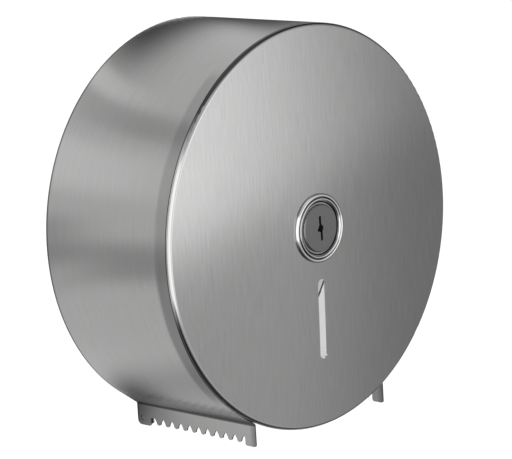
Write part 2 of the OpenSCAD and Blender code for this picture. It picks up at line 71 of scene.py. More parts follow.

# Where the finish, the painted shade and the painted highlight change on the side wall: across its
# depth, then up its height
REAR_RIM = (-0.0028, -0.0014)
REAR_LUG_HIGHLIGHT = (-0.03, -0.005)
LAP_SHADE_DEPTH = (WALL_FRONT + 0.0075, WALL_FRONT + 0.0115)
FRONT_LUG_SHADE_DEPTH = (WALL_FRONT, WALL_FRONT + 0.006)
LAP_SHADE_LOW = (-0.105, -0.09)
LAP_SHADE_HIGH = (0.108, 0.116)
LAP_SHADE_LOWER_HALF = (-0.02, 0.005)
# Heights from the bend above the tear bars, among them where the painted shade in the crease lies
BAR_TOP = (-0.0025, 0.0005)
CREASE_SHADE_FOOT = (-0.0014, -0.0002)
CREASE_SHADE_HEAD = (0.0006, 0.002)
CREASE_SHADE_WIDENS = 0.0016
CREASE_SHADE_FADE = (0.0, 0.009)
NEAR_BAR = (0.004, 0.02)
SHEET_STARTS = 0.0015
# From and to how far off its middle the bezel's groove has painted shade, and how soft the painted
# shade at its base's edge is
GROOVE_SHADE = (0.0003, 0.0009)
BASE_SOFT = 0.0005
# Half the keyhole's width and height, each from the hole's edge out
KEYHOLE_ACROSS = (0.0011, 0.0022)
KEYHOLE_UP = (0.0078, 0.0092)
# The painted black shade on the neck round the plug: its depth and its radii
NECK_SHADE_DEPTH = (FACE_FRONT - 0.0022, FACE_FRONT - 0.0012)
NECK_SHADE_RADIUS = (PLUG_GROOVE - 0.0017, PLUG_GROOVE - 0.0013)

# Sizes of the finishes' marks, in metres: first how wide and long, then how deep
STREAK_SIZE = (0.0013, 0.016)
TURNING_PITCH = 0.00035
MILL_SIZE = (0.0006, 0.05)
LATHE_SIZE = (0.00025, 0.03)
SCUFF_SIZE = (0.0012, 0.04)
FACE_DEPTH = 0.00002
WALL_DEPTH = 0.00005
TURNING_DEPTH = 0.000008
CAST_DEPTH = 0.00003
PLATED_DEPTH = 0.00002
MILL_DEPTH = 0.000008
LATHE_DEPTH = 0.000006
FELT_DEPTH = 0.0002
NYLON_DEPTH = 0.00002
HUB_DEPTH = 0.00003

# How much warmer than grey the two brushed finishes are
FACE_WARMTH = 0.004
WALL_WARMTH = 0.006
# How squarely a surface faces a way before it counts as a cut edge or as the drum's outside
CUT_EDGE = (0.5, 0.9)
OUTSIDE = 0.93


# ---- shader maths ----

def feed(tree, pin, value):
    """Sets a socket to a number, colour or vector, or links a field to it."""
    if isinstance(value, Field):
        tree.links.new(value.socket, pin)
    else:
        pin.default_value = value


def reckon(operation, *values):
    """One Math node on fields and numbers, at least one of them a field."""
    tree = next(v.tree for v in values if isinstance(v, Field))
    node = tree.nodes.new("ShaderNodeMath")
    node.operation = operation
    for pin, value in zip(node.inputs, values):
        feed(tree, pin, value)
    return Field(tree, node.outputs[0])


class Field:
    """A number that varies over a surface, held as a node's output socket."""

    def __init__(self, tree, socket):
        self.tree = tree
        self.socket = socket

    def __add__(self, other):
        return reckon("ADD", self, other)

    __radd__ = __add__

    def __sub__(self, other):
        return reckon("SUBTRACT", self, other)

    def __rsub__(self, other):
        return reckon("SUBTRACT", other, self)

    def __mul__(self, other):
        return reckon("MULTIPLY", self, other)

    __rmul__ = __mul__

    def __truediv__(self, other):
        return reckon("DIVIDE", self, other)

    def __rtruediv__(self, other):
        return reckon("DIVIDE", other, self)

    def __pow__(self, other):
        return reckon("POWER", self, other)

    def __abs__(self):
        return reckon("ABSOLUTE", self)


class Nodes:
    """A node tree that is filled one node at a time."""

    def __init__(self, tree):
        self.tree = tree
        tree.nodes.clear()

    def add(self, kind, settings=None, inputs=None, out=0):
        """Adds a node with its settings and its sockets' values, and returns one output."""
        node = self.tree.nodes.new(kind)
        for key, value in (settings or {}).items():
            setattr(node, key, value)
        for key, value in (inputs or {}).items():
            feed(self.tree, node.inputs[key], value)
        return Field(self.tree, node.outputs[out]) if node.outputs else None

    def vector(self, x, y, z):
        """A vector from three numbers or fields."""
        return self.add("ShaderNodeCombineXYZ", inputs={0: x, 1: y, 2: z})

    def parts(self, vector):
        """A vector's three numbers."""
        node = self.add("ShaderNodeSeparateXYZ", inputs={0: vector}).socket.node
        return [Field(self.tree, pin) for pin in node.outputs]

    def ease(self, value, low, high):
        """0 below low, 1 above high and smooth between them."""
        return self.add(
            "ShaderNodeMapRange",
            {"interpolation_type": "SMOOTHSTEP"},
            {"Value": value, "From Min": low, "From Max": high},
        )

    def noise(self, vector, scale, detail=2.0, roughness=0.5):
        """Cloudy values about 0.5."""
        return self.add(
            "ShaderNodeTexNoise",
            inputs={"Vector": vector, "Scale": scale, "Detail": detail, "Roughness": roughness},
        )

    def between(self, factor, first, second):
        """A vector between two, by a field."""
        return self.add(
            "ShaderNodeMix", {"data_type": "VECTOR"}, {0: factor, 4: first, 5: second}, out=1
        )

    def tint(self, factor, first, second):
        """A colour between two, by a field."""
        return self.add(
            "ShaderNodeMix", {"data_type": "RGBA"}, {0: factor, 6: first, 7: second}, out=2
        )


class Finish(Nodes):
    """A material, with the piece's own coordinates in metres."""

    def __init__(self, name):
        self.material = bpy.data.materials.new(name)
        self.material.use_nodes = True
        super().__init__(self.material.node_tree)
        self.place = self.add("ShaderNodeTexCoord", out=3)
        self.facing = self.add("ShaderNodeTexCoord", out=1)
        self.x, self.y, self.z = self.parts(self.place)

    def radius(self):
        """The distance from the drum's axis."""
        return (self.x * self.x + self.z * self.z) ** 0.5

    def bump(self, height, depth, normal=None):
        """A normal from a height field whose full range is depth, in metres."""
        inputs = {"Distance": depth, "Height": height}
        if normal is not None:
            inputs["Normal"] = normal
        return self.add("ShaderNodeBump", inputs=inputs)

    def turned_out(self, vector):
        """A normal from a vector in the piece's own coordinates."""
        settings = {"vector_type": "NORMAL", "convert_from": "OBJECT", "convert_to": "WORLD"}
        return self.add("ShaderNodeVectorTransform", settings, {0: vector})

    def surface(self, **sockets):
        """Closes the material with a principled shader."""
        names = {key.replace("_", " "): value for key, value in sockets.items()}
        shader = self.add("ShaderNodeBsdfPrincipled", inputs=names)
        self.add("ShaderNodeOutputMaterial", inputs={"Surface": shader})
        return self.material

    def grain(self, across, along, width, length):
        """Brush marks: fine and coarse streaks, narrow across and long along."""
        fine = self.noise(self.vector(across / width, along / length, 0.0), 1.0, 3.0, 0.65)
        broad = self.noise(
            self.vector(across / (6.0 * width), along / (1.5 * length), 7.0), 1.0, 2.0, 0.5
        )
        return fine, broad


def grey(level, warmth=0.0):
    """A neutral colour, a little warm or cool."""
    return (level * (1 + warmth), level, level * (1 - warmth), 1.0)


def dress(material, *names):
    """Gives CAD nodes a finish."""
    for name in names:
        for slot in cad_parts[name].material_slots:
            slot.material = material


# ---- what a user would change ----

class SteelSettings(bpy.types.PropertyGroup):
    face_tone: FloatProperty(
        name="Face tone", description="Reflectance of the front", default=0.36, min=0.1, max=0.8
    )
    wall_tone: FloatProperty(
        name="Wall tone", description="Reflectance of the side wall", default=0.32, min=0.1, max=0.8
    )
    plate_tone: FloatProperty(
        name="Plate tone", description="Reflectance of the plain sheet inside", default=0.34,
        min=0.1, max=0.8
    )
    face_roughness: FloatProperty(
        name="Face roughness", description="How satin the front is", default=0.16,
        min=0.05, max=0.8, subtype="FACTOR"
    )
    wall_roughness: FloatProperty(
        name="Wall roughness", description="How satin the side wall is", default=0.1,
        min=0.05, max=0.8, subtype="FACTOR"
    )
    mark_width: FloatProperty(
        name="Mark width", description="Width of a brush mark", default=0.0003,
        min=0.00005, max=0.002, subtype="DISTANCE", unit="LENGTH", precision=5
    )
    mark_length: FloatProperty(
        name="Mark length", description="Length of a brush mark", default=0.02,
        min=0.002, max=0.1, subtype="DISTANCE", unit="LENGTH"
    )


class TrimSettings(bpy.types.PropertyGroup):
    chrome_tone: FloatProperty(
        name="Chrome tone", description="Reflectance of the bezel", default=0.6, min=0.3, max=1.0
    )
    plug_tone: FloatProperty(
        name="Plug tone", description="Reflectance of the lock's plug", default=0.16,
        min=0.05, max=0.8
    )
    zinc_tone: FloatProperty(
        name="Zinc tone", description="Reflectance of the cast and plated pieces", default=0.36,
        min=0.1, max=0.8
    )


class InsideSettings(bpy.types.PropertyGroup):
    hub_colour: FloatVectorProperty(
        name="Hub", description="Colour of the moulded roll hub", subtype="COLOR",
        default=(0.042, 0.042, 0.045), min=0.0, max=1.0
    )
    nylon_colour: FloatVectorProperty(
        name="Nylon", description="Colour of the plastic washers", subtype="COLOR",
        default=(0.74, 0.73, 0.68), min=0.0, max=1.0
    )
    felt_colour: FloatVectorProperty(
        name="Felt", description="Colour of the brake washer", subtype="COLOR",
        default=(0.024, 0.024, 0.026), min=0.0, max=1.0
    )


class StudioSettings(bpy.types.PropertyGroup):
    camera_place: FloatVectorProperty(
        name="Camera", description="Where the camera stands", subtype="TRANSLATION",
        unit="LENGTH", default=(-1.23962, -1.25562, 0.33478)
    )
    lens: FloatProperty(
        name="Lens", description="Focal length for a 36 mm sensor, in mm", default=183.11,
        min=20.0, max=400.0
    )
    floor_drop: FloatProperty(
        name="Floor drop", description="From the lowest point down to the floor", default=1.4,
        min=0.0, max=2.0, subtype="DISTANCE", unit="LENGTH"
    )
    tent_radius: FloatProperty(
        name="Tent", description="Radius of the tent that the metal mirrors", default=1.3,
        min=0.5, max=4.0, subtype="DISTANCE", unit="LENGTH"
    )


# ---- finishes ----

class DISPENSER_OT_front_cover(bpy.types.Operator):
    """Brushes the front upright, in fine marks and wider streaks, and rounds its rolled edge"""

    bl_idname = "dispenser.front_cover"
    bl_label = "Front cover"

    def execute(self, context):
        steel = context.scene.dispenser_steel
        skin = Finish("face_steel")
        fine, broad = skin.grain(skin.x, skin.z, steel.mark_width, steel.mark_length)
        width, length = STREAK_SIZE
        streak = skin.noise(skin.vector(skin.x / width, skin.z / length, 3.0), 1.0, 2.0)
        cloud = skin.noise(skin.place, 9.0, 3.0)
        tone = 0.80 + 0.16 * fine + 0.08 * broad + 0.14 * streak - 0.06 * cloud
        colour = skin.tint(
            skin.ease(tone, 0.7, 1.2),
            grey(steel.face_tone * 0.8, FACE_WARMTH),
            grey(steel.face_tone * 1.18, FACE_WARMTH),
        )
        rolled, outward, seam_shade = self.rolled_edge(skin)
        # The polished edge's own tone, darkened near the seam by painted shade
        polished_with_shade = skin.tint(
            seam_shade,
            grey(steel.face_tone * 1.25, FACE_WARMTH),
            grey(steel.face_tone * 0.12, FACE_WARMTH),
        )
        brushed = skin.bump(fine * (1 - rolled), FACE_DEPTH)
        dress(
            skin.surface(
                Base_Color=skin.tint(rolled, colour, polished_with_shade),
                Metallic=1.0,
                Roughness=steel.face_roughness * (0.86 + 0.28 * broad),
                Normal=skin.between(rolled, brushed, outward),
            ),
            "front_cover",
        )
        return {"FINISHED"}

    def rolled_edge(self, skin):
        """The rolled edge's mask, its true round's normal and the painted shade near its seam,
        darkest at the top and low down.
        """
        radius = skin.radius()
        out = radius - (DRUM_RADIUS - EDGE_RADIUS)
        forward = reckon("MINIMUM", skin.y - (FACE_FRONT + EDGE_RADIUS), 0.0)
        reach = (out * out + forward * forward) ** 0.5
        rolled = reckon("GREATER_THAN", out, EDGE_START)
        rolled = rolled * reckon("GREATER_THAN", reach, EDGE_RADIUS - EDGE_SKIN)
        way = skin.vector(skin.x / radius * out, forward, skin.z / radius * out)
        top = skin.ease(skin.z, *SEAM_SHADE_TOP)
        seam_shade = skin.ease(
            out,
            EDGE_RADIUS - SEAM_SHADE_WIDTH - SEAM_SHADE_TOP_WIDTH * top,
            EDGE_RADIUS - SEAM_SHADE_DARKEST - SEAM_SHADE_TOP_DARKEST * top,
        )
        upper = skin.ease(skin.z, *SEAM_SHADE_UPPER)
        lower = 1 - skin.ease(skin.z, *SEAM_SHADE_LOWER)
        seam_shade = seam_shade * (SEAM_SHADE_FAINT + SEAM_SHADE_STRONG * reckon("MAXIMUM", upper, lower))
        return rolled, skin.turned_out(way), seam_shade


class DISPENSER_OT_side_wall(bpy.types.Operator):
    """Brushes the side wall round the drum, with dull cut edges, painted shade in the bends, over
    the lap and on the front lugs, and a painted highlight on the rear lugs
    """

    bl_idname = "dispenser.side_wall"
    bl_label = "Side wall and tear bars"

    def execute(self, context):
        steel = context.scene.dispenser_steel
        skin = Finish("wall_steel")
        turn = reckon("ARCTAN2", skin.x, skin.z)
        fine, broad = skin.grain(
            skin.y, turn * DRUM_RADIUS, steel.mark_width, steel.mark_length
        )
        facing = skin.parts(skin.facing)
        height = skin.z - (BAR_FOOT + BEND_HEIGHT)
        on_bar = 1 - skin.ease(height, *BAR_TOP)
        cloud = skin.noise(skin.place, 11.0, 3.0)
        tone = 0.93 + 0.12 * fine + 0.12 * broad - 0.08 * cloud
        tone = self.lap_shade_and_rims(skin, facing, tone)
        tone = self.bar_end_shade_and_highlight(skin, facing, on_bar, tone)
        tone = self.crease_shade(skin, height, tone)
        colour = skin.tint(
            skin.ease(tone, 0.3, 1.25),
            grey(steel.wall_tone * 0.3, WALL_WARMTH),
            grey(steel.wall_tone * 1.2, WALL_WARMTH),
        )
        near_bar = 1 - skin.ease(height, *NEAR_BAR)
        rough = steel.wall_roughness * (0.9 + 0.2 * broad) + 0.25 * near_bar * (1 - on_bar)
        normal = skin.bump(fine, WALL_DEPTH, self.rolled_sheet(skin, facing, height))
        dress(
            skin.surface(Base_Color=colour, Metallic=1.0, Roughness=rough, Normal=normal),
            "side_wall",
        )
        return {"FINISHED"}

    def lap_shade_and_rims(self, skin, facing, tone):
        """Paints shade on the lap over the cover's flange, most of all low down, and darkens the
        cut rims.
        """
        # Painted shade on the lap at the wall's front, darker low down
        lap_shade = 1 - skin.ease(skin.y, *LAP_SHADE_DEPTH)
        lap_shade = lap_shade * skin.ease(skin.z, *LAP_SHADE_LOW) * (1 - skin.ease(skin.z, *LAP_SHADE_HIGH))
        low = 1 - skin.ease(skin.z, *LAP_SHADE_LOWER_HALF)
        rim = reckon("MAXIMUM", skin.ease(abs(facing[1]), *CUT_EDGE), skin.ease(skin.y, *REAR_RIM))
        return tone * (1 - (0.18 + 0.18 * low) * lap_shade) * (1 - 0.6 * rim)

    def bar_end_shade_and_highlight(self, skin, facing, on_bar, tone):
        """Darkens the bars' cut edges, paints shade on their front lugs and a painted highlight on
        their rear lugs.
        """
        cut_edge = on_bar * (1 - skin.ease(abs(facing[0]), *CUT_EDGE))
        # Painted shade on the front lugs and a painted highlight on the rear lugs
        front_lug_shade = on_bar * (1 - skin.ease(skin.y, *FRONT_LUG_SHADE_DEPTH))
        rear_lug_highlight = on_bar * skin.ease(skin.y, *REAR_LUG_HIGHLIGHT)
        return tone * (1 - 0.5 * cut_edge) * (1 - 0.35 * front_lug_shade) * (1 + 0.3 * rear_lug_highlight)

    def crease_shade(self, skin, height, tone):
        """Paints shade in the bend above the bars, and on more of the wall over it towards the
        front.
        """
        forward = skin.ease(skin.y, 0.0, WALL_FRONT)
        foot = skin.ease(height, *CREASE_SHADE_FOOT)
        head, top = CREASE_SHADE_HEAD
        line = foot * (1 - skin.ease(height, head, top + CREASE_SHADE_WIDENS * forward))
        fade = foot * (1 - skin.ease(height, *CREASE_SHADE_FADE))
        return tone * (1 - 0.75 * line) * (1 - 0.75 * fade * forward)

    def rolled_sheet(self, skin, facing, height):
        """The normal of the drum's true round and of the flats that run down to the bars."""
        geometry = skin.add("ShaderNodeNewGeometry", out=1)
        radius = skin.radius()
        leave = math.radians(LEAVE_ANGLE)
        flat = reckon("LESS_THAN", skin.z, -DRUM_RADIUS * math.cos(leave))
        across = reckon("SIGN", skin.x) * math.sin(leave)
        way_x = skin.x / radius * (1 - flat) + across * flat
        way_z = skin.z / radius * (1 - flat) - flat * math.cos(leave)
        outside = reckon("GREATER_THAN", facing[0] * way_x + facing[2] * way_z, OUTSIDE)
        outside = outside * reckon("GREATER_THAN", height, SHEET_STARTS)
        way = skin.turned_out(skin.vector(way_x, 0.0, way_z))
        return skin.between(outside, geometry, way)


class DISPENSER_OT_lock_front(bpy.types.Operator):
    """Chromes the bezel, with painted shade in its groove and round its base, and gives the lock's
    plug a satin face with turning marks
    """

    bl_idname = "dispenser.lock_front"
    bl_label = "Bezel and plug"

    def execute(self, context):
        trim = context.scene.dispenser_trim
        ring = Finish("bezel_chrome")
        haze = ring.noise(ring.place, 260.0, 3.0)
        radius = ring.radius()
        # Painted shade in the bezel's groove and at its base round the plug
        bezel_shade = 1 - ring.ease(abs(radius - BEZEL_GROOVE), *GROOVE_SHADE)
        base = 1 - ring.ease(radius, PLUG_GROOVE - BASE_SOFT, PLUG_GROOVE)
        bezel_shade = reckon("MAXIMUM", bezel_shade * 0.6, base)
        bright = ring.tint(haze, grey(trim.chrome_tone * 0.94), grey(trim.chrome_tone * 1.04))
        dress(
            ring.surface(
                Base_Color=ring.tint(bezel_shade, bright, grey(trim.chrome_tone * 0.06)),
                Metallic=1.0,
                Roughness=0.07 + 0.07 * haze,
            ),
            "lock_bezel",
        )
        face = Finish("plug_satin")
        radius = face.radius()
        turned = face.noise(face.vector(radius / TURNING_PITCH, 0.0, 0.0), 1.0, 2.0)
        worn = face.noise(face.place, 420.0, 4.0, 0.6)
        hole = 1 - face.ease(abs(face.x), *KEYHOLE_ACROSS)
        hole = hole * (1 - face.ease(abs(face.z), *KEYHOLE_UP))
        level = 0.45 * turned + 0.55 * worn
        dress(
            face.surface(
                Base_Color=face.tint(
                    level, grey(trim.plug_tone * 0.8), grey(trim.plug_tone * 1.2)
                ),
                Metallic=1.0,
                Roughness=0.34 + 0.1 * worn - 0.08 * hole,
                Normal=face.bump(turned, TURNING_DEPTH),
            ),
            "lock_plug",
        )
        return {"FINISHED"}


class DISPENSER_OT_lock_inside(bpy.types.Operator):
    """Casts the lock's housing, paints black shade on the neck round its plug and plates what hangs
    on it
    """

    bl_idname = "dispenser.lock_inside"
    bl_label = "Lock inside"

    def execute(self, context):
        tone = context.scene.dispenser_trim.zinc_tone
        cast = Finish("cast_zinc")
        sand = cast.noise(cast.place, 1500.0, 4.0, 0.6)
        flow = cast.noise(cast.place, 90.0, 3.0)
        plain = cast.tint(flow, grey(tone * 0.8, -0.02), grey(tone * 1.1, -0.02))
        # Painted black shade on the neck's front round the plug
        neck_shade = 1 - cast.ease(cast.y, *NECK_SHADE_DEPTH)
        neck_shade = neck_shade * cast.ease(cast.radius(), *NECK_SHADE_RADIUS)
        dress(
            cast.surface(
                Base_Color=cast.tint(neck_shade, plain, grey(0.012)),
                Metallic=1.0,
                Roughness=0.45 + 0.2 * sand,
                Normal=cast.bump(sand, CAST_DEPTH),
            ),
            "lock_housing",
        )
        plated = Finish("plated_steel")
        sheen = plated.noise(plated.place, 130.0, 3.0)
        dress(
            plated.surface(
                Base_Color=plated.tint(sheen, grey(tone * 0.95, 0.03), grey(tone * 1.3, -0.02)),
                Metallic=1.0,
                Roughness=0.24 + 0.14 * sheen,
                Normal=plated.bump(sheen, PLATED_DEPTH),
            ),
            "cam_collar", "lock_cam", "cam_washer", "spindle_plug",
        )
        return {"FINISHED"}


class DISPENSER_OT_plain_sheet(bpy.types.Operator):
    """Gives the back plate, the spindle's foot and the keeper their cloudy mill finish"""

    bl_idname = "dispenser.plain_sheet"
    bl_label = "Plain sheet"

    def execute(self, context):
        tone = context.scene.dispenser_steel.plate_tone
        sheet = Finish("mill_sheet")
        cloud = sheet.noise(sheet.place, 28.0, 4.0, 0.6)
        width, length = MILL_SIZE
        rolled = sheet.noise(sheet.vector(sheet.x / width, sheet.z / length, sheet.y), 1.0, 2.0)
        dress(
            sheet.surface(
                Base_Color=sheet.tint(
                    0.6 * cloud + 0.4 * rolled, grey(tone * 0.85), grey(tone * 1.12)
                ),
                Metallic=1.0,
                Roughness=0.3 + 0.16 * cloud,
                Normal=sheet.bump(rolled, MILL_DEPTH),
            ),
            "back_plate", "spindle_foot", "latch_keeper",
        )
        return {"FINISHED"}


class DISPENSER_OT_bright_pieces(bpy.types.Operator):
    """Turns the spindle, pins, rivets, screws and ball bright, and oils the two springs dark"""

    bl_idname = "dispenser.bright_pieces"
    bl_label = "Bright pieces"

    def execute(self, context):
        tone = context.scene.dispenser_steel.plate_tone
        bright = Finish("bright_steel")
        width, length = LATHE_SIZE
        turned = bright.noise(
            bright.vector(bright.y / width, bright.x / length, bright.z / length), 1.0, 3.0
        )
        smear = bright.noise(bright.place, 70.0, 3.0)
        dress(
            bright.surface(
                Base_Color=bright.tint(smear, grey(tone), grey(tone * 1.3)),
                Metallic=1.0,
                Roughness=0.16 + 0.14 * smear,
                Normal=bright.bump(turned, LATHE_DEPTH),
            ),
            "spindle_tube", "spindle_rivets", "hinge_pins", "keeper_screw", "cam_screw",
            "detent_ball",
        )
        dark = Finish("spring_steel")
        oil = dark.noise(dark.place, 240.0, 3.0)
        dress(
            dark.surface(
                Base_Color=dark.tint(oil, grey(0.02), grey(0.05, 0.03)),
                Metallic=0.8,
                Roughness=0.32 + 0.16 * oil,
            ),
            "retaining_ring", "detent_spring",
        )
        return {"FINISHED"}


class DISPENSER_OT_soft_washers(bpy.types.Operator):
    """Gives the brake washer pressed felt and the other washers milky nylon"""

    bl_idname = "dispenser.soft_washers"
    bl_label = "Washers"

    def execute(self, context):
        inside = context.scene.dispenser_inside
        felt = Finish("pressed_felt")
        fibre = felt.noise(felt.place, 2600.0, 5.0, 0.7)
        tuft = felt.noise(felt.place, 500.0, 2.0)
        base = Vector(inside.felt_colour)
        dress(
            felt.surface(
                Base_Color=felt.tint(fibre, (*(base * 0.5), 1.0), (*(base * 1.9), 1.0)),
                Roughness=0.95,
                Sheen_Weight=0.4,
                Normal=felt.bump(0.6 * fibre + 0.4 * tuft, FELT_DEPTH),
            ),
            "brake_washer",
        )
        nylon = Finish("milky_nylon")
        cloud = nylon.noise(nylon.place, 160.0, 3.0)
        base = Vector(inside.nylon_colour)
        dress(
            nylon.surface(
                Base_Color=nylon.tint(cloud, (*(base * 0.94), 1.0), (*base, 1.0)),
                Roughness=0.4 + 0.1 * cloud,
                Normal=nylon.bump(cloud, NYLON_DEPTH),
            ),
            "hub_washer", "hinge_washers",
        )
        return {"FINISHED"}


class DISPENSER_OT_roll_hub(bpy.types.Operator):
    """Moulds the roll hub in finely grained dark plastic, scuffed where cores slide on"""

    bl_idname = "dispenser.roll_hub"
    bl_label = "Roll hub"

    def execute(self, context):
        base = Vector(context.scene.dispenser_inside.hub_colour)
        moulded = Finish("hub_plastic")
        grain = moulded.noise(moulded.place, 1900.0, 3.0, 0.6)
        width, length = SCUFF_SIZE
        scuff = moulded.noise(
            moulded.vector(moulded.x / width, moulded.y / length, moulded.z / width), 1.0, 3.0
        )
        worn = moulded.ease(scuff, 0.58, 0.74)
        dress(
            moulded.surface(
                Base_Color=moulded.tint(worn, (*base, 1.0), (*(base * 2.1), 1.0)),
                Roughness=0.46 + 0.12 * grain - 0.08 * worn,
                Normal=moulded.bump(grain, HUB_DEPTH),
            ),
            "roll_hub",
        )
        return {"FINISHED"}


# ---- studio ----

# The least glow of what the metal mirrors, and the light of the air where nothing shows it
DARKEST = 0.07
AMBIENT = 0.6

# The tent. Azimuths turn from straight before the drum to its right, in degrees
WINDOW_GLOW = 2.1
# The dim bar in the window's middle: its width in degrees and its depth
WINDOW_BAR = (14, 0.9)
WINDOW_LEFT = (-130, -90)
FOOT_SLANT = 0.3
# Left of this azimuth the window's foot runs level
FOOT_LEVEL_FROM = -25
HEAD_SLANT = 0.26
WINDOW_FOOT = (-22, -18)
WINDOW_HEAD = (14, 23)
# From and to which azimuth the window's glow falls, and by how much
WINDOW_FALLS = ((24, 60, 1.75), (62, 78, 0.15))
BENCH_GLOW = 0.74
BENCH_FALL = (40, 53, 0.37)
BENCH_RIGHT = (62, 78)
BENCH_DEPTH = (-52, -28)
# The glow behind and overhead, and from and to which part of the way there it grows
BACK_GLOW = 0.6
BACK_REACH = (0.2, 0.6)
TOP_GLOW = 0.5
TOP_REACH = (0.85, 1.0)
# The glow low at the right: its head's elevations and its left end's azimuths
LOW_RIGHT_GLOW = 0.6
LOW_RIGHT_HEAD = (-60, -38)
LOW_RIGHT_START = (60, 80)

# The card behind the drum: its inner and outer radius, its place and its glow
CARD_RADII = (0.137, 0.6)
CARD_PLACE = 0.003
CARD_GLOW = 1.0
# Its painted bright places and painted shadows: how far round they lie above the level left, in
# degrees, and how wide they spread, then their distance from the axis, their width and their
# strength
CARD_LIGHTS = (
    (132, 24, 0.170, 0.070, -0.90),
    (88, 27, 0.135, 0.034, -0.90),
    (55, 5, 0.140, 0.040, 0.30),
    (46, 6, 0.220, 0.080, -0.30),
    (26, 9, 0.140, 0.120, 0.30),
    (2, 8, 0.135, 0.040, -0.30),
    (-7, 8, 0.230, 0.080, -0.40),
    (-72, 20, 0.220, 0.150, -0.35),
    (-70, 21, 0.135, 0.030, -0.65),
)

# The glowing card inside the drum, no lamp, which paints light on what shows through the slot
INNER_CARD_RADII = (0.050, 0.1325)
INNER_CARD_PLACE = -0.0045
INNER_CARD_GLOW = 1.9
# How much darker it is near its rim, and from and to which radius it darkens
INNER_CARD_SHADE = 0.5
INNER_CARD_SHADED = (0.118, 0.122)

# The glowing strips round and before the back plate's rim, no lamps, which paint light in the gap,
# each from one radius and place to another
RIM_STRIPS = (
    ("studio_gap_strip", ((0.1322, -0.0176), (0.1322, -0.0144))),
    ("studio_lip", ((0.1307, -0.0176), (0.1322, -0.0176))),
)
RIM_STRIP_GLOW = 1.9

FLOOR_RADIUS = 60.0
FLOOR_GLOW = 0.6
# Corners of the floor and of the rings
ROUND_CORNERS = 96

# The camera's own axes
CAMERA_RIGHT = Vector((0.68430, -0.72683, -0.05874))
CAMERA_UP = Vector((0.18127, 0.09152, 0.97917))
CAMERA_FORWARD = Vector((0.70631, 0.68069, -0.19438))
CAMERA_REACH = 200.0
SENSOR_WIDTH = 36.0

# Name, place, size and power of the lamps
STUDIO_LAMPS = (
    ("key_lamp", (-1.4, -1.8, 1.6), 1.4, 28.0),
    ("fill_lamp", (1.8, -1.2, 0.8), 1.6, 12.0),
)


def staged(name, mesh, material):
    """A piece of the studio, which isn't part of the dispenser."""
    piece = bpy.data.objects.new(name, mesh)
    mesh.materials.append(material)
    bpy.context.scene.collection.objects.link(piece)
    return piece


